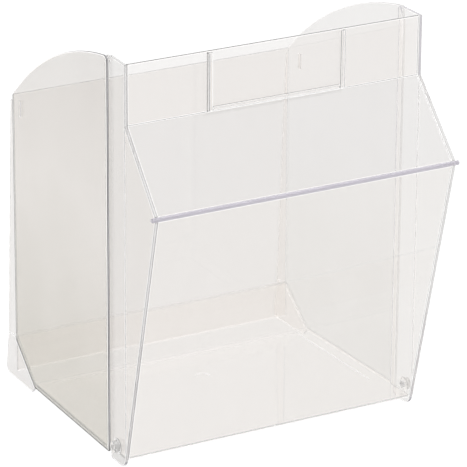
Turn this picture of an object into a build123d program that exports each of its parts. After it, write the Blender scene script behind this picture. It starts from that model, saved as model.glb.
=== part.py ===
"""Clear tip-out storage bin: a tub with eared sides, a beaked front and two pivot pins.

Frame: millimetres, +Z up, the beaked front faces -Y, +X is to the right.
The origin is the middle of the footprint, on the surface that the bin stands on.

Two plain coordinates place everything, so that each piece is drawn once:
    u  runs backwards from the outer face of the header,
    h  runs upwards from the underside of the floor.
"""

import os
from math import hypot

from build123d import *

# ---------------------------------------------------------------- overall sizes
front_width = 280.0  # outside the side panels, at the header
front_height = 340.0  # underside of the floor to the top of the header
tub_depth = 210.0  # outer face of the header to the outer face of the back
side_draft = 6.0  # each side leans in this much between the header and the back
stand_height = 8.0  # the lugs and the feet hold the floor this far off the shelf

# ---------------------------------------------------------------- tub
tub_wall = 2.5
back_drop = 88.0  # from the top of the header down to the top of the back
ear_radius = 326.0  # the curved top edge of each side panel
ear_corner = 5.0  # small radius at the front tip of each ear
side_start = 27.0  # the side panels start this far behind the header
side_skirt = 2.5  # the side panels reach this far below the floor
ramp_run = 38.0  # the sloping panel between the floor and the back
ramp_rise = 31.0

# ---------------------------------------------------------------- front
front_wall = 3.0
beak_reach = 55.0  # how far the beak stands out in front of the header
header_height = 51.0
beak_drop = 60.0  # from the header's lower edge down to the edge of the beak
rail_rise = 1.9  # how far the rail runs up the upper slope from the beak's edge
rail_fall = 2.6  # and down the lower slope
rail_nose = 0.7  # how far the rail's rounded nose stands out from the edge
flange_lap = 5.0  # how far each flange runs on inside the side panel
lug_corner = 10.0  # the lug is well rounded at its front
lug_heel = 3.0  # and has a small radius at its back

# ---------------------------------------------------------------- pivot pins
pin_setback = 14.0  # behind the header
pin_height = 7.5  # above the underside of the floor
pin_head_radius = 5.0
pin_head_length = 5.0  # from the flange to the end of the pin
pin_shoulder_radius = 6.8  # a low shoulder gives the pin a square seat on the leaning flange
pin_shoulder_height = 0.8
pin_shank_radius = 3.2
pin_bore_radius = 2.0
pin_clearance = 0.1

# ---------------------------------------------------------------- rear ribs and feet
rib_top_drop = 6.0  # below the top of the back
rib_top_depth = 3.5
rib_base_depth = 15.0
foot_depth = 20.0  # behind the outer face of the back
foot_corner = 7.0
foot_toe = 6.0  # the foot's front corner is cut back this much

# ---------------------------------------------------------------- label frame
label_width = 118.0
label_margin = 0.8  # above the fold, and below the top of the header
guide_width = 4.6
guide_foot_width = 2.0
guide_depth = 3.0
guide_lip = 1.2
ledge_height = 4.0
ledge_foot_height = 1.8

# ---------------------------------------------------------------- small mouldings
nib_inset = 19.0  # in front of the outer face of the back
nib_top_drop = 1.0  # below the top of the back
nib_length = 14.0
nib_width = 3.0
nib_proud = 1.5
panel_margin = 14.0  # plain border left and right of the floor's sunk panel
panel_start = 47.0
panel_gap = 6.0  # between the sunk panel and the ramp
panel_sink = 0.5
gate_radius = 6.0
gate_sink = 0.4
gate_setback = 121.0

# ---------------------------------------------------------------- plane geometry in (u, h)
def shift(point, direction, distance):
    """A point moved along a direction."""
    return (point[0] + direction[0] * distance, point[1] + direction[1] * distance)


def heading(start, end):
    """The unit vector from start to end."""
    du, dh = end[0] - start[0], end[1] - start[1]
    return (du / hypot(du, dh), dh / hypot(du, dh))


def inward(direction):
    """The normal on the bin's inner side, for an outline that runs up its front."""
    return (direction[1], -direction[0])


def crossing(point_a, dir_a, point_b, dir_b):
    """Where two lines meet, each given by a point and a direction."""
    du, dh = point_b[0] - point_a[0], point_b[1] - point_a[1]
    determinant = dir_a[0] * dir_b[1] - dir_a[1] * dir_b[0]
    return shift(point_a, dir_a, (du * dir_b[1] - dh * dir_b[0]) / determinant)


# ---------------------------------------------------------------- outline of the front
# From the floor up: the lower slope, the upper slope and the header.
backwards, upwards = (1.0, 0.0), (0.0, 1.0)
fold_height = front_height - header_height
beak_height = fold_height - beak_drop
toe = (0.0, 0.0)
beak = (-beak_reach, beak_height)
fold = (0.0, fold_height)
crown = (0.0, front_height)
lower, upper = heading(toe, beak), heading(beak, fold)

# The inner outline is one front wall further in, and its corners are mitres.
lower_in = shift(toe, inward(lower), front_wall)
upper_in = shift(beak, inward(upper), front_wall)
crown_inner = shift(crown, backwards, front_wall)
toe_inner = crossing(lower_in, lower, toe, backwards)
beak_inner = crossing(lower_in, lower, upper_in, upper)
fold_inner = crossing(upper_in, upper, crown_inner, upwards)

# Both slopes stop square at the rail, whose rounded nose closes the beak's edge.
rail_low = shift(beak, lower, -rail_fall)
rail_low_in = shift(rail_low, inward(lower), front_wall)
rail_high = shift(beak, upper, rail_rise)
rail_high_in = shift(rail_high, inward(upper), front_wall)
rail_tip = shift(beak, heading(beak_inner, beak), rail_nose)

# ---------------------------------------------------------------- outline of the ramp
# The ramp joins the floor and the back at mitres, so that the three meet face to face.
inside_back = tub_depth - tub_wall
back_height = front_height - back_drop
ramp_start = tub_depth - ramp_run
ramp_foot = (ramp_start, 0.0)
ramp_top = (inside_back, ramp_rise)
ramp_along = heading(ramp_foot, ramp_top)
ramp_inner = shift(ramp_foot, (-ramp_along[1], ramp_along[0]), tub_wall)
floor_top = (0.0, tub_wall)
floor_mitre = crossing(ramp_inner, ramp_along, floor_top, backwards)
ramp_head = crossing(ramp_inner, ramp_along, ramp_top, upwards)

# ---------------------------------------------------------------- the part's frame
foot_back = tub_depth + foot_depth
nose_front = ThreePointArc(rail_low, rail_tip, rail_high).bounding_box().min.X
middle = (foot_back + nose_front) / 2  # the value of u that lies over the origin
flange_end = side_start + flange_lap
reach = 2 * max(front_width, front_height, tub_depth)


def half_width(u, inset=0.0):
    """Half the width at u, inside of the outer faces by inset."""
    return front_width / 2 - side_draft * u / tub_depth - inset


def place(points):
    """Points given as (u, h), as (y, z) in the part's frame."""
    return [(u - middle, h + stand_height) for u, h in points]


def across(edges):
    """A closed outline in the Y-Z plane, run right across the bin."""
    return extrude(Plane.YZ * make_face(edges), reach, both=True)


def slab(*points):
    """A closed polygon of (u, h) points, run right across the bin."""
    return across(Polyline(*place(points), close=True).edges())


def between(inset):
    """Everything between the two leaning sides, inside of them by inset."""
    front, back = -2 * tub_depth, 2 * tub_depth
    plan = Polyline(
        (-half_width(front, inset), front - middle),
        (half_width(front, inset), front - middle),
        (half_width(back, inset), back - middle),
        (-half_width(back, inset), back - middle),
        close=True,
    )
    return extrude(make_face(plan.edges()), reach, both=True)


def half_space(side):
    """The left half (side = -1) or the right half (side = +1) of everything."""
    return Pos(side * reach, 0, 0) * Box(2 * reach, 4 * reach, 4 * reach)


def plate(profile, side, outer, inner):
    """One side's slice of a profile, between two insets from the outer face."""
    return profile & (between(outer) - between(inner)) & half_space(side)


inside_tub = between(tub_wall)  # between the side panels
inside_front = between(tub_wall + front_wall)  # between the wings and flanges

# ---------------------------------------------------------------- tub
# The curved top edge runs from the top of the back up to the tip of the ear.
ear_tip = (side_start, front_height)
back_top = (tub_depth, back_height)
side_outline = Polyline(
    *place([
        ear_tip,
        (side_start, -side_skirt),
        (ramp_start, -side_skirt),
        (tub_depth, ramp_rise - side_skirt),
        back_top,
    ])
)
ear_top = RadiusArc(*place([back_top, ear_tip]), -ear_radius)
side_profile = across([*side_outline.edges(), ear_top])
tip_edge = side_profile.edges().filter_by(Axis.X).sort_by(Axis.Z)[-1]
side_profile = fillet(tip_edge, ear_corner)

back_panel = inside_tub & slab(
    (inside_back, 0), (tub_depth, 0), (tub_depth, back_height), (inside_back, back_height)
)
ramp_panel = inside_tub & slab(ramp_foot, ramp_top, ramp_head, floor_mitre)

# ---------------------------------------------------------------- front
front_lower_panel = inside_front & slab(toe, rail_low, rail_low_in, toe_inner)
front_upper_panel = inside_front & slab(rail_high, fold, fold_inner, rail_high_in)
header_panel = inside_front & slab(fold, crown, crown_inner, fold_inner)

rail_inner = Polyline(*place([rail_high, rail_high_in, beak_inner, rail_low_in, rail_low]))
rail_outer = ThreePointArc(*place([rail_low, rail_tip, rail_high]))
rail_profile = across([*rail_inner.edges(), rail_outer])
beak_rail = rail_profile & between(0)

# A wing closes each end of the beak. A flange runs from the lug at its foot to the
# crown, and laps inside the side panel, under the ear's curve.
wing_profile = slab(toe, beak, fold) - rail_profile
lug_profile = slab(
    (0, front_height), (0, -stand_height), (side_start, -stand_height), (side_start, front_height)
)
lug_foot = lug_profile.edges().filter_by(Axis.X).sort_by(Axis.Z)[:2].sort_by(Axis.Y)
lug_profile = fillet(lug_foot[0], min(lug_corner, 0.45 * side_start))
lug_foot = lug_profile.edges().filter_by(Axis.X).sort_by(Axis.Z)
heel_edge = lug_foot.sort_by(Axis.Y)[-2:].sort_by(Axis.Z)[0]
lug_profile = fillet(heel_edge, lug_heel)
lap_profile = side_profile & slab(
    (side_start, 0), (flange_end, 0), (flange_end, front_height), (side_start, front_height)
)
flange_profile = lug_profile + lap_profile

# The floor fills the space between the side panels, the flanges and the lower slope.
floor_front = crossing(lower_in, lower, floor_top, backwards)
floor_panel = inside_tub & slab(toe_inner, ramp_foot, floor_mitre, floor_front)
floor_panel -= flange_profile - inside_front
sunk_level = tub_wall - panel_sink
panel_end = ramp_start - panel_gap
floor_panel -= between(tub_wall + panel_margin) & slab(
    (panel_start, sunk_level), (panel_end, sunk_level), (panel_end, tub_wall), (panel_start, tub_wall)
)
gate_place = Pos(0, gate_setback - middle, stand_height + sunk_level - gate_sink)
floor_panel -= gate_place * extrude(Circle(gate_radius), panel_sink + gate_sink)

# ---------------------------------------------------------------- ribs and feet
# The foot fills the corner behind the ramp, and the rib tapers up the back above it.
# Its line along the ramp is the edge of the side panel, so the two meet face to face.
rib_top = back_height - rib_top_drop
rib_profile = slab(
    (tub_depth, ramp_rise),
    (tub_depth + rib_base_depth, ramp_rise),
    (tub_depth + rib_top_depth, rib_top),
    (tub_depth, rib_top),
)
foot_profile = slab(
    (tub_depth, ramp_rise),
    (tub_depth + rib_base_depth, ramp_rise),
    (foot_back, 0),
    (foot_back, -stand_height),
    (ramp_start + foot_toe, -stand_height),
    (ramp_start, -side_skirt),
    (tub_depth, ramp_rise - side_skirt),
)
heel = foot_profile.edges().filter_by(Axis.X).sort_by(Axis.Z)[:2].sort_by(Axis.Y)[-1]
foot_profile = fillet(heel, min(foot_corner, 0.9 * stand_height))


def pin_axis(side):
    """The plane across a pin's axis, where the axis passes the flange's outer face."""
    origin = (
        side * half_width(pin_setback, tub_wall),
        pin_setback - middle,
        stand_height + pin_height,
    )
    return Plane(origin, z_dir=(side, 0, 0))


def pivot_pin(side):
    """A hollow pin: its head stands out from the flange, its shank fills the bore."""
    inwards = (Align.CENTER, Align.CENTER, Align.MAX)
    end = pin_axis(side).offset(pin_head_length)
    head = end * Cylinder(pin_head_radius, 2 * pin_head_length, align=inwards)
    head += pin_axis(side).offset(pin_shoulder_height) * Cylinder(
        pin_shoulder_radius, pin_head_length, align=inwards
    )
    shank = end * Cylinder(pin_shank_radius, 4 * pin_head_length, align=inwards)
    shank &= inside_tub - inside_front
    return (head - inside_tub) + shank - pin_axis(side) * Cylinder(pin_bore_radius, reach)


def pin_bore(side):
    """The hole through the flange that the shank of a pin sits in."""
    return pin_axis(side) * Cylinder(pin_shank_radius + pin_clearance, 8 * front_wall)


def label_guide(side):
    """An upright with a lip, which holds one end of a card against the header."""
    low, high = fold_height + label_margin, front_height - label_margin
    foot = slab((0, low), (-guide_depth, low), (-guide_depth, high), (0, high))
    lip_back = guide_lip - guide_depth
    lip = slab((lip_back, low), (-guide_depth, low), (-guide_depth, high), (lip_back, high))
    outer = label_width / 2 + guide_width
    foot &= Pos(side * (outer - guide_foot_width / 2)) * Box(guide_foot_width, reach, 2 * reach)
    lip &= Pos(side * (outer - guide_width / 2)) * Box(guide_width, reach, 2 * reach)
    return foot + lip


def label_ledge():
    """The bar between the guides that the card stands on, with the same lip."""
    low = fold_height + label_margin
    lip_back = guide_lip - guide_depth
    profile = slab(
        (0, low),
        (-guide_depth, low),
        (-guide_depth, low + ledge_height),
        (lip_back, low + ledge_height),
        (lip_back, low + ledge_foot_height),
        (0, low + ledge_foot_height),
    )
    return profile & Box(label_width, 2 * reach, 2 * reach)


def stop_nib(side):
    """A small upright bar on the outside of a side panel, near the top of the back."""
    front = tub_depth - nib_inset
    top = back_height - nib_top_drop
    profile = slab(
        (front, top - nib_length),
        (front + nib_width, top - nib_length),
        (front + nib_width, top),
        (front, top),
    )
    return plate(profile, side, -nib_proud, 0)


# ---------------------------------------------------------------- the pieces
pieces = {
    "floor_panel": floor_panel,
    "ramp_panel": ramp_panel,
    "back_panel": back_panel,
    "front_lower_panel": front_lower_panel,
    "front_upper_panel": front_upper_panel,
    "header_panel": header_panel,
    "beak_rail": beak_rail,
    "label_ledge": label_ledge(),
}
for name, side in (("left", -1), ("right", 1)):
    pieces["side_panel_" + name] = plate(side_profile, side, 0, tub_wall)
    pieces["front_wing_" + name] = plate(wing_profile, side, tub_wall, tub_wall + front_wall)
    pieces["front_flange_" + name] = (
        plate(flange_profile, side, tub_wall, tub_wall + front_wall) - pin_bore(side)
    )
    pieces["pivot_pin_" + name] = pivot_pin(side)
    pieces["rear_rib_" + name] = plate(rib_profile, side, 0, tub_wall)
    pieces["rear_foot_" + name] = plate(foot_profile, side, 0, tub_wall)
    pieces["stop_nib_" + name] = stop_nib(side)
    pieces["label_guide_" + name] = label_guide(side)

os.makedirs("parts", exist_ok=True)
for name, shape in pieces.items():
    piece = shape.solid()
    piece.label = name
    export_step(piece, f"parts/{name}.step")
    print(f"{name}: {piece.volume / 1000:.2f} cm3")
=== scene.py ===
# %% [markdown]
# # A clear tip-out storage bin
# The bin is moulded in crystal-clear plastic: an open tub with eared sides, and a beaked front
# that is bonded into it. It hangs in a cabinet on two stub pins and tips forward on them.
# Clear plastic has hardly any colour of its own. What shows is where it bends and mirrors the
# room: along its edges, folds and corners. So every panel here is a refracting plastic with its
# full thickness, a fine radius on its edges, and faint traces of moulding on its faces. Where
# refraction alone doesn't show them, dark lines, glints, glow and shade are painted on as well.

# %% Load the imported bin
import math

import bpy
from mathutils import Matrix, Vector


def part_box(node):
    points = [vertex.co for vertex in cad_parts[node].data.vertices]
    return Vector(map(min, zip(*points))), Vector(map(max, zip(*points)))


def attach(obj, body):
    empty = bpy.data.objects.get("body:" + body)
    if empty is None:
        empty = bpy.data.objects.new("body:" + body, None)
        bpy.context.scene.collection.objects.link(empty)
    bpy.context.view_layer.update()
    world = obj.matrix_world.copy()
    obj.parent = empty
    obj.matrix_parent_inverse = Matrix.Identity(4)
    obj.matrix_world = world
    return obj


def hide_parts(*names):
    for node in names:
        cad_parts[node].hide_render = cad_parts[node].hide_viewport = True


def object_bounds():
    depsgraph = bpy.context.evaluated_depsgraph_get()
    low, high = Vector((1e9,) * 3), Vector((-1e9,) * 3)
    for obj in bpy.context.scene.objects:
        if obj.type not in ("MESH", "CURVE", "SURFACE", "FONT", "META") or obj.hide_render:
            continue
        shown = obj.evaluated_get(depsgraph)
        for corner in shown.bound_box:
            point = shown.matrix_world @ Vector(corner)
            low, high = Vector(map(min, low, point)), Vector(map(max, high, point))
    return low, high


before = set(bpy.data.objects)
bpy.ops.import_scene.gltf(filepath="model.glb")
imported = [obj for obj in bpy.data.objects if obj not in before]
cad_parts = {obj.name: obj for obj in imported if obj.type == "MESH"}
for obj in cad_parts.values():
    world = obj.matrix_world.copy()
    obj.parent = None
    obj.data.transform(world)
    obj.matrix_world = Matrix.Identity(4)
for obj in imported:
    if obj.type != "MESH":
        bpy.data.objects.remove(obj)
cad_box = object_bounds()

MM = 0.001
scene = bpy.context.scene
low, high = (Vector(corner) for corner in cad_box)
print("pieces in the frame:", len(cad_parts))
print("size in mm:", [round(side / MM, 1) for side in high - low])

# %% [markdown]
# ## Camera
# The bin is seen from the front and its left, from a little above its top. The camera could be
# placed by hand and turned until it looks right, but then nobody could say where it stands. Here
# it stands on one line through the bin: azimuth says how far round, elevation how high, and roll
# is a hair of tilt. The lens is long, so that upright edges stay nearly parallel. Distances are
# shares of the height of the front, so the view fits a bin of any size.

# %% Camera
azimuth, elevation, roll = math.radians(-29.29), math.radians(21.21), math.radians(0.41)
lens_mm, sensor_mm = 283.4, 36.0
aim_behind_header, aim_above_floor, stand_off, lift = 0.2, 0.5, 8.9855, -0.0539
header_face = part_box("header_panel")[0].y
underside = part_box("floor_panel")[0].z
front_height = high.z - underside
target = Vector(
    (
        0.0,
        header_face + aim_behind_header * front_height,
        underside + aim_above_floor * front_height,
    )
)
distance = stand_off * front_height
rise = lift * front_height

backward = Vector(
    (
        math.sin(azimuth) * math.cos(elevation),
        -math.cos(azimuth) * math.cos(elevation),
        math.sin(elevation),
    )
)
level = Vector((math.cos(azimuth), math.sin(azimuth), 0.0))
turn = Matrix.Rotation(roll, 3, backward)
right, upward = turn @ level, turn @ backward.cross(level)
bpy.ops.object.camera_add()
camera = bpy.context.object
camera.name = "camera"
camera.data.lens = lens_mm
camera.data.sensor_width = sensor_mm
camera.matrix_world = Matrix.Translation(target + upward * rise + backward * distance) @ Matrix(
    (right, upward, backward)
).transposed().to_4x4()
scene.camera = camera
print("camera stands", round(distance, 2), "m away")

# %% [markdown]
# ## Shader maths
# `Wire` wraps a socket, so that shader maths reads like ordinary maths: each operator adds the
# Math node it stands for. `Shader.node` adds any other node from its type, its settings and the
# values or links of its sockets. The nodes could be placed one by one, but a long chain of them
# is hard to read and easy to link wrongly.

# %% Wires and shaders
class Wire:
    """An output socket that can be added, multiplied and compared."""

    def __init__(self, shader, socket):
        self.shader = shader
        self.socket = socket

    def math(self, operation, other, swapped=False):
        first, second = (other, self) if swapped else (self, other)
        return self.shader.node(
            "ShaderNodeMath", {"operation": operation}, {0: first, 1: second}
        )

    def __add__(self, other):
        return self.math("ADD", other)

    def __radd__(self, other):
        return self.math("ADD", other, swapped=True)

    def __sub__(self, other):
        return self.math("SUBTRACT", other)

    def __rsub__(self, other):
        return self.math("SUBTRACT", other, swapped=True)

    def __mul__(self, other):
        return self.math("MULTIPLY", other)

    def __rmul__(self, other):
        return self.math("MULTIPLY", other, swapped=True)

    def __gt__(self, other):
        return self.math("GREATER_THAN", other)

    def __lt__(self, other):
        return self.math("LESS_THAN", other)

    def larger(self, other):
        return self.math("MAXIMUM", other)


class Shader:
    """A node tree, emptied and filled again by node()."""

    def __init__(self, owner):
        owner.use_nodes = True
        self.tree = owner.node_tree
        self.tree.nodes.clear()

    def node(self, kind, settings=None, sockets=None, out=0):
        made = self.tree.nodes.new(kind)
        for name, value in (settings or {}).items():
            if name == "stops":
                ramp = made.color_ramp
                while len(ramp.elements) < len(value):
                    ramp.elements.new(1.0)
                for element, (place, colour) in zip(ramp.elements, value):
                    element.position = place
                    element.color = colour
            else:
                setattr(made, name, value)
        for name, value in (sockets or {}).items():
            if isinstance(value, Wire):
                self.tree.links.new(value.socket, made.inputs[name])
            else:
                made.inputs[name].default_value = value
        return Wire(self, made.outputs[out]) if made.outputs else None


def grey(value):
    return (value, value, value, 1.0)


# %% [markdown]
# ## Floor and light
# The studio is one large pale floor under a bright ceiling. A ring of lamps would do as well, but
# clear panels would mirror each lamp as a hard patch. So the room itself gives the light, darker
# low down, at the height where upright panels mirror it. That contrast is what makes clear
# plastic visible: in a room that is white all round, it would vanish. The floor looks a little
# brighter straight on than it is to the plastic, and to light that comes out of the plastic after
# several bounces it has one set grey, so stacked walls don't pile up darkness.

# %% Floor
floor_side, floor_grey, straight_on = 40.0, 0.745, 0.2
glimpse_grey, glimpse_after = 0.83, 3
bpy.ops.object.select_all(action="DESELECT")
bpy.ops.mesh.primitive_plane_add(size=floor_side, location=(0.0, 0.0, low.z))
floor = bpy.context.object
floor.name = "studio_floor"
floor_material = bpy.data.materials.new("pale_floor")
shader = Shader(floor_material)
direct = shader.node("ShaderNodeLightPath", out="Is Camera Ray")
pale = floor_grey + straight_on * direct
paint = shader.node(
    "ShaderNodeBsdfPrincipled",
    sockets={"Base Color": pale, "Roughness": 1.0, "Specular IOR Level": 0.0},
)
thrown_about = shader.node("ShaderNodeLightPath", out="Ray Depth") > glimpse_after
glimpse = shader.node("ShaderNodeEmission", sockets={"Color": grey(glimpse_grey)})
seen = shader.node("ShaderNodeMixShader", sockets={0: thrown_about, 1: paint, 2: glimpse})
shader.node("ShaderNodeOutputMaterial", sockets={"Surface": seen})
floor.data.materials.append(floor_material)
print("floor:", floor_side, "m across")

# %% Room light
room_shades = ((0.0, 0.42), (0.3, 0.6), (0.6, 0.85), (1.0, 1.0))
room_strength = 1.42
room = bpy.data.worlds.new("studio_room")
scene.world = room
scene.view_settings.view_transform = "Standard"
shader = Shader(room)
direction = shader.node("ShaderNodeTexCoord", out="Generated")
height = shader.node("ShaderNodeSeparateXYZ", sockets={0: direction}, out="Z")
glow = shader.node(
    "ShaderNodeValToRGB",
    {"stops": [(up, grey(shade)) for up, shade in room_shades]},
    {0: height},
)
light = shader.node("ShaderNodeBackground", sockets={"Color": glow, "Strength": room_strength})
shader.node("ShaderNodeOutputWorld", sockets={"Surface": light})
print("room: from", room_shades[0][1], "at the horizon to", room_shades[-1][1], "overhead")

# %% [markdown]
# ## Clear plastic
# The bin is polystyrene, which bends light strongly, so its index is high. A see-through mix of a
# Transparent and a Glossy shader would be quicker, but it has no thickness: the edges wouldn't
# show. So each finish is a refracting plastic with its own tint and haze. The tint may change
# from the foot to the crown, which paints shade by height on the side panels. Faint streaks run
# up it as the melt ran, and specks of dust dull it a little. Frost is the share of a finish that
# doesn't let light through, so that a painted line, glint or edge shade shows. Glow is painted
# light: the glints and a few panels brighten as if lit, though they are no lamp.
# Light for the floor passes straight through, so the bin doesn't stand in its own black shadow. A
# ray that has been thrown about inside a thin edge many times is let out at last, which keeps the
# edges from turning black.

# %% Numbers of the plastic
polystyrene = 1.57
mirrored_inside, bends = 2, 8
swell_scale, swell_depth, swell_in_tone = 16.0, 0.4 * MM, 0.25
dust_scale, cleanest, dusted = 90.0, 0.6, 0.8
streak_scale, streak_share, streak_tint = (70.0, 70.0, 6.0), 0.1, (0.8, 0.78, 0.75, 1.0)
foot_at, middle_at, crown_at = 0.15, 0.6, 0.95
# The glow colour is for painted light: finishes that brighten as if lit, though they are no lamp.
painted_glow_tint, let_through = (1.0, 0.99, 0.98, 1.0), 0.97


# %% Clear plastic
def clear_plastic(name, tint, foot=None, crown=None, haze=0.03, wave=0.15, frost=0.0, glow=0.0):
    material = bpy.data.materials.new(name)
    shader = Shader(material)
    place = shader.node("ShaderNodeTexCoord", out="Object")
    swell = shader.node(
        "ShaderNodeTexNoise", sockets={"Vector": place, "Scale": swell_scale, "Detail": 1.0}
    )
    bump = shader.node(
        "ShaderNodeBump", sockets={"Height": swell, "Strength": wave, "Distance": swell_depth}
    )
    dust = shader.node(
        "ShaderNodeTexNoise", sockets={"Vector": place, "Scale": dust_scale, "Detail": 4.0}
    )
    drawn_out = shader.node(
        "ShaderNodeMapping", sockets={"Vector": place, "Scale": streak_scale}
    )
    streak = shader.node(
        "ShaderNodeTexNoise", sockets={"Vector": drawn_out, "Scale": 1.0, "Detail": 2.0}
    )
    tall = shader.node("ShaderNodeSeparateXYZ", sockets={0: place}, out="Z")
    # Foot and crown tones paint shade by height, where a finish is given them.
    upper_share = tall * (1.0 / high.z) + (swell - 0.5) * swell_in_tone
    foot, crown = foot or tint, crown or tint
    tones = [(foot_at, (*foot, 1.0)), (middle_at, (*tint, 1.0)), (crown_at, (*crown, 1.0))]
    tone = shader.node("ShaderNodeValToRGB", {"stops": tones}, {0: upper_share})
    streaked = shader.node(
        "ShaderNodeMix",
        {"data_type": "RGBA"},
        {"Factor": streak * streak_share, "A": tone, "B": streak_tint},
        out="Result",
    )
    # Emission here is painted light: the glow of the glints and of the brighter panels.
    body = shader.node(
        "ShaderNodeBsdfPrincipled",
        sockets={
            "Base Color": streaked,
            "Transmission Weight": 1.0 - frost,
            "Emission Color": painted_glow_tint,
            "Emission Strength": glow,
            "IOR": polystyrene,
            "Roughness": haze * (cleanest + dusted * dust),
            "Normal": bump,
        },
    )
    through = shader.node("ShaderNodeBsdfTransparent", sockets={"Color": grey(let_through)})
    lamp = shader.node("ShaderNodeLightPath", out="Is Shadow Ray").larger(
        shader.node("ShaderNodeLightPath", out="Is Diffuse Ray")
    )
    lost = (shader.node("ShaderNodeLightPath", out="Glossy Depth") > mirrored_inside).larger(
        shader.node("ShaderNodeLightPath", out="Ray Depth") > bends
    )
    mixed = shader.node(
        "ShaderNodeMixShader", sockets={0: lamp.larger(lost), 1: body, 2: through}
    )
    shader.node("ShaderNodeOutputMaterial", sockets={"Surface": mixed})
    print("finish:", name)
    return material


# %% [markdown]
# ## Painted lines, glints and edge shade
# On the real bin every edge is a thin dark line with a white one beside it, because a fine radius
# mirrors the dark part of the room on one half and the ceiling on the other. Refraction alone
# gives such lines only where the light is just right. So these reflections are painted on the
# radius, in finishes of its own: three painted dark lines, from dark to faint, and one painted
# highlight, the glint, which glows a little. The flat edges between two lines are a little
# frosted
# and carry painted shade: light, lilac or dark, by how much plastic lies behind them. The lilac
# is partly the resin's own tint.

# %% Painted lines and glint
# Painted reflections on each radius: dark lines of three strengths, and a white glint that glows
# as a painted highlight.
painted_dark_line = clear_plastic("radius_painted_dark", (0.05, 0.047, 0.046), haze=0.1, wave=0.0, frost=0.75)
painted_soft_line = clear_plastic("radius_painted_soft", (0.41, 0.40, 0.405), haze=0.1, wave=0.0, frost=0.5)
painted_faint_line = clear_plastic("radius_painted_faint", (0.62, 0.60, 0.59), haze=0.1, wave=0.0, frost=0.4)
painted_glint = clear_plastic(
    "radius_painted_highlight", (0.99, 0.985, 0.98), haze=0.2, wave=0.0, frost=0.6, glow=0.16
)

# %% Flat edges with painted shade
# Painted shade on the flat edges: grey, dark or lilac-grey by how much plastic lies behind them,
# a pale painted stripe on most panels, and a dark painted underside on the lugs.
tub_edge_painted_shade = clear_plastic("tub_edge_painted_shade", (0.66, 0.65, 0.64), haze=0.1, frost=0.5)
floor_edge_painted_shade = clear_plastic("floor_edge_painted_shade", (0.44, 0.43, 0.42), haze=0.1, frost=0.6)
pale_painted_edge = clear_plastic("pale_painted_edge", (0.86, 0.845, 0.84), haze=0.1, frost=0.3)
lilac_edge_painted_shade = clear_plastic("lilac_edge_painted_shade", (0.60, 0.58, 0.625), haze=0.1, frost=0.6)
lug_under_painted_shade = clear_plastic("lug_underside_painted_shade", (0.42, 0.40, 0.44), haze=0.15, frost=0.7)

# %% [markdown]
# ## Dressing a piece
# The CAD pieces have the right shape, but their edges are perfectly sharp, their faces are cut in
# triangles, and neighbours touch. Each could be modelled again by hand, with the risk of a wrong
# size. It is safer to copy each one and finish the copy: its triangles are joined into whole
# faces, its edges get the fine radius of a moulded part, and it is drawn in by a hair, so that
# light meets one surface at a time.

# %% Copy a piece
merge_within, flat_within = 0.001 * MM, math.radians(0.2)


def only(piece):
    bpy.ops.object.select_all(action="DESELECT")
    piece.select_set(True)
    bpy.context.view_layer.objects.active = piece


def copy_of(node):
    only(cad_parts[node])
    bpy.ops.object.duplicate()
    piece = bpy.context.object
    piece.name = "clear_" + node
    for mark in list(piece.keys()):
        del piece[mark]
    piece.parent = None
    piece.data.materials.clear()
    return piece


def join_triangles():
    bpy.ops.object.mode_set(mode="EDIT")
    bpy.ops.mesh.select_all(action="SELECT")
    bpy.ops.mesh.customdata_custom_splitnormals_clear()
    bpy.ops.mesh.remove_doubles(threshold=merge_within)
    bpy.ops.mesh.dissolve_limited(angle_limit=flat_within)
    bpy.ops.mesh.normals_make_consistent(inside=False)
    bpy.ops.object.mode_set(mode="OBJECT")
    bpy.ops.object.shade_flat()


# %% [markdown]
# ## Which finish goes where
# A panel faces the way its largest face does. What looks that way gets the face finish. What
# looks down, what ends the panel left and right, and the other edges can each have their own; on
# some pieces what looks down gets a painted shade. Of the two strips in each radius, the one
# beside a face is the painted glint and the one beside an edge is the painted dark line. The
# finishes could be picked face by face, but a rule by direction still holds when the bin's size
# changes.

# %% Finishes by direction
as_the_face, beside_the_face, looks_down = 0.9, 0.8, -0.3
FACE, EDGE, LINE, GLINT, UNDER, END = range(6)


def sort_faces(piece, facing):
    for polygon in piece.data.polygons:
        if abs(polygon.normal.dot(facing)) > as_the_face:
            polygon.material_index = FACE
        # What looks down gets the under finish, which on the left side and the flanges is painted
        # shade.
        elif polygon.normal.z < looks_down:
            polygon.material_index = UNDER
        else:
            polygon.material_index = END if abs(polygon.normal.x) > as_the_face else EDGE


# A radius strip keeps the painted dark line; beside a face and above glint_above it becomes the
# painted highlight, and below line_above it takes the plain face.
def sort_radii(piece, facing, line_above, glint_above):
    for polygon in piece.data.polygons:
        if polygon.material_index != LINE:
            continue
        if polygon.center.z < line_above:
            polygon.material_index = FACE
        elif abs(polygon.normal.dot(facing)) > beside_the_face and polygon.center.z > glint_above:
            polygon.material_index = GLINT


# %% Fine radius and a hair of room
sharp_from = math.radians(30)
hair = 0.02 * MM


def round_edges(piece, radius, clamp):
    rounding = piece.modifiers.new("edge_radius", "BEVEL")
    rounding.width = radius
    rounding.segments = 2
    rounding.limit_method = "ANGLE"
    rounding.angle_limit = sharp_from
    rounding.use_clamp_overlap = clamp
    rounding.material = LINE
    bpy.ops.object.modifier_apply(modifier=rounding.name)


def draw_in(piece):
    shrink = piece.modifiers.new("hair", "DISPLACE")
    shrink.strength = -hair
    shrink.mid_level = 0.0
    bpy.ops.object.modifier_apply(modifier=shrink.name)


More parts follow.
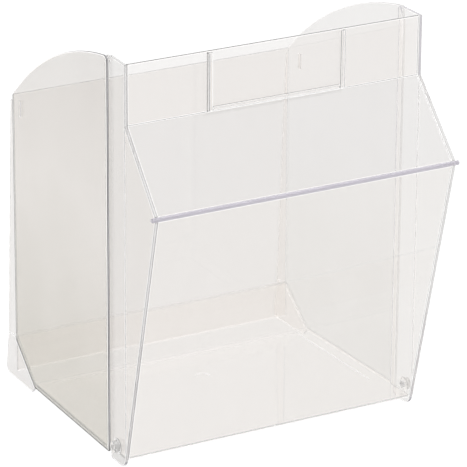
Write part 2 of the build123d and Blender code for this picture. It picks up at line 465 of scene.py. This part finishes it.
# %% Dress a piece
def dress(node, face, edge, radius=0.6 * MM, line=painted_dark_line, under=None, ends=None,
          line_above=0.0, glint_above=0.0, clamp=True):
    piece = copy_of(node)
    for finish in (face, edge, line, painted_glint, under or edge, ends or edge):
        piece.data.materials.append(finish)
    join_triangles()
    facing = max(piece.data.polygons, key=lambda polygon: polygon.area).normal.copy()
    sort_faces(piece, facing)
    round_edges(piece, radius, clamp)
    sort_radii(piece, facing, line_above, glint_above)
    draw_in(piece)
    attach(piece, "root")
    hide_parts(node)
    print(piece.name, len(piece.data.polygons), "faces")
    return piece


# %% [markdown]
# ## Tub floor, ramp and back
# These three are one bent sheet on the real tub, so the corners between them are blunt: only the
# top of the back is a free edge, with a painted dark line of its own. The ramp mirrors the darker
# floor, and that is painted into its tint as a deeper shade. The ends of the floor and the back
# show through the side panels as dark bands, because light can't leave there; these bands are
# painted shade on the ends. They could be one mesh, but they stay apart, as the pieces do in the
# part, and plain faces at their joints hide the seams.

# %% Tub floor, ramp and back
tub_face = clear_plastic("tub_clear", (0.985, 0.963, 0.945))
# The ramp's deeper tint is painted shade, for the darker floor that it mirrors.
ramp_painted_shade = clear_plastic("ramp_clear_painted_shade", (0.945, 0.923, 0.903))
no_line = high.z
free_edge = 5.0 * MM
dress("floor_panel", tub_face, tub_face, radius=0.3 * MM, ends=floor_edge_painted_shade, line_above=no_line)
dress("ramp_panel", ramp_painted_shade, ramp_painted_shade, radius=0.3 * MM, ends=floor_edge_painted_shade, line_above=no_line)
back_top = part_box("back_panel")[1].z
dress(
    "back_panel", tub_face, tub_edge_painted_shade, radius=0.45 * MM, under=tub_face, ends=floor_edge_painted_shade,
    line_above=back_top - free_edge,
)

# %% [markdown]
# ## Side panels
# The two sides are seen differently. The left one is looked at from outside, at a low angle, so
# it mirrors the dim side of the room, and that reflection is painted into its finish as shade:
# darker all over, greener and deepest towards its foot, and deeper again at its crown. The right
# one is seen from inside through the front, nearly clear, with a little painted shade towards its
# foot, and its front edge is a painted light stripe. One finish for both would need a room that
# is dark on one side only, and that room would show in every other panel, so each side has a
# finish of
# its own: a shaded and a lit copy of one plastic. The left panel's thick edge is the strongest
# painted line on the bin, and what looks down on it carries the floor ends' painted dark shade.
# Low down it has no painted glint, where the dark end of the floor lies behind it.

# %% Side panels
# Painted shade: the left side's tints carry the dim room it mirrors, and its edge is shaded grey;
# the right side is the lit copy, darker only towards its foot.
left_side_painted_shade = clear_plastic(
    "side_left_clear_painted_shade", (0.945, 0.92, 0.89), foot=(0.81, 0.79, 0.735), crown=(0.87, 0.842, 0.815)
)
right_face = clear_plastic("side_right_clear", (0.99, 0.975, 0.963), foot=(0.945, 0.93, 0.905))
left_edge_painted_shade = clear_plastic("side_left_edge_painted_shade", (0.74, 0.72, 0.75), haze=0.1, frost=0.4)
above_the_floor = underside + 40.0 * MM
dress(
    "side_panel_left", left_side_painted_shade, left_edge_painted_shade, radius=1.0 * MM, under=floor_edge_painted_shade,
    glint_above=above_the_floor,
)
dress("side_panel_right", right_face, pale_painted_edge, radius=0.6 * MM, line=painted_faint_line)

# %% [markdown]
# ## Ribs, feet and stop nibs
# Small mouldings: the ribs and the feet are behind the tub, and the nibs near the top of its
# back. They are the same clear plastic as the panel that they stand on, and the nibs take the
# left side's painted shade. The ribs and nibs are thin, so their painted lines are faint. A foot
# is a thick block with soft painted lines and a greyer edge of painted shade.

# %% Ribs, feet and stop nibs
for side in ("left", "right"):
    dress("rear_rib_" + side, tub_face, pale_painted_edge, radius=0.4 * MM, line=painted_faint_line)
    dress("rear_foot_" + side, tub_face, tub_edge_painted_shade, radius=0.6 * MM, line=painted_soft_line, clamp=False)
    dress("stop_nib_" + side, left_side_painted_shade, pale_painted_edge, radius=0.3 * MM, line=painted_faint_line)

# %% [markdown]
# ## Front panels
# The header carries the label and stands upright, so it is the brightest panel, and a faint
# painted glow makes it so. The upper slope leans away from the ceiling, and its deeper shade is
# painted into its tint. The lower slope has a fainter painted glow. The header has the crispest
# painted line and the widest painted glint. The slopes have softer ones. The front could be one
# folded sheet with
# Solidify, but its folds would then be as sharp or as round as the sheet, and these are mitred.

# %% Front panels
# Painted light and shade: a faint glow on the header and on the lower front, a deeper tint on the
# upper slope.
header_painted_glow = clear_plastic("header_clear_painted_glow", (1.0, 0.985, 0.975), glow=0.02)
upper_slope_painted_shade = clear_plastic("upper_slope_clear_painted_shade", (0.96, 0.955, 0.955))
front_painted_glow = clear_plastic("front_clear", (1.0, 0.99, 0.98), glow=0.012)
dress("header_panel", header_painted_glow, pale_painted_edge, radius=0.9 * MM)
dress(
    "front_upper_panel", upper_slope_painted_shade, pale_painted_edge, radius=0.6 * MM, line=painted_soft_line,
)
dress(
    "front_lower_panel", front_painted_glow, pale_painted_edge, radius=0.7 * MM, line=painted_soft_line,
)

# %% [markdown]
# ## Wings and flanges
# A wing closes each end of the beak, and a flange stands behind it and runs inside the side
# panel. The left pair is looked at from outside and mirrors the dim side of the room, which is
# painted into their tints as shade. The right pair takes the front's painted glow. The front edge
# of the right flange is seen on end, as a stripe of the resin's lilac and painted shade, and the
# lugs' undersides carry painted shade. Both have short edges, at the rail, the lug and the bore,
# and a Bevel that may not overlap would shrink to fit the shortest, so the clamp is off and the
# radius is kept small instead.

# %% Wings and flanges
# Painted shade: the left wing and flange are tinted for the dim room they mirror.
wing_left_painted_shade = clear_plastic("wing_left_clear_painted_shade", (0.955, 0.935, 0.915))
flange_left_painted_shade = clear_plastic("flange_left_clear_painted_shade", (0.935, 0.92, 0.905))
for side, wing_face, flange_face, flange_edge, line in (
    ("left", wing_left_painted_shade, flange_left_painted_shade, pale_painted_edge, painted_soft_line),
    ("right", front_painted_glow, front_painted_glow, lilac_edge_painted_shade, painted_faint_line),
):
    dress(
        "front_wing_" + side, wing_face, pale_painted_edge, radius=0.7 * MM, line=line, clamp=False,
    )
    dress(
        "front_flange_" + side, flange_face, flange_edge, radius=0.5 * MM, line=line,
        under=lug_under_painted_shade, clamp=False,
    )

# %% [markdown]
# ## Rail, label frame and pins
# The rail is the thickest piece of plastic on the bin, and it is where the faint lilac of the
# resin shows, greyed with painted shade. The label guides are thin and clear. The pins are smooth
# and round, and their rims and their bores are what shows of them, drawn with painted dark lines,
# painted edge shade and the front's painted glow. More facets would make them round too, but
# shading across the facets does it with the mesh they have.

# %% Rail, label frame and pins
round_below = math.radians(25)
# The rail's lilac is the resin's own; its grey and frost are painted shade.
rail_lilac_and_shade = clear_plastic("rail_lilac_and_painted_shade", (0.64, 0.61, 0.68), haze=0.1, wave=0.0, frost=0.6)
guide_skin = clear_plastic("guide_clear", (0.98, 0.97, 0.965), haze=0.05)
dress("beak_rail", rail_lilac_and_shade, rail_lilac_and_shade)
dress("label_ledge", guide_skin, guide_skin)
for side in ("left", "right"):
    dress("label_guide_" + side, guide_skin, guide_skin)
    pin = dress("pivot_pin_" + side, front_painted_glow, tub_edge_painted_shade, radius=0.5 * MM)
    only(pin)
    bpy.ops.object.shade_smooth_by_angle(angle=round_below)
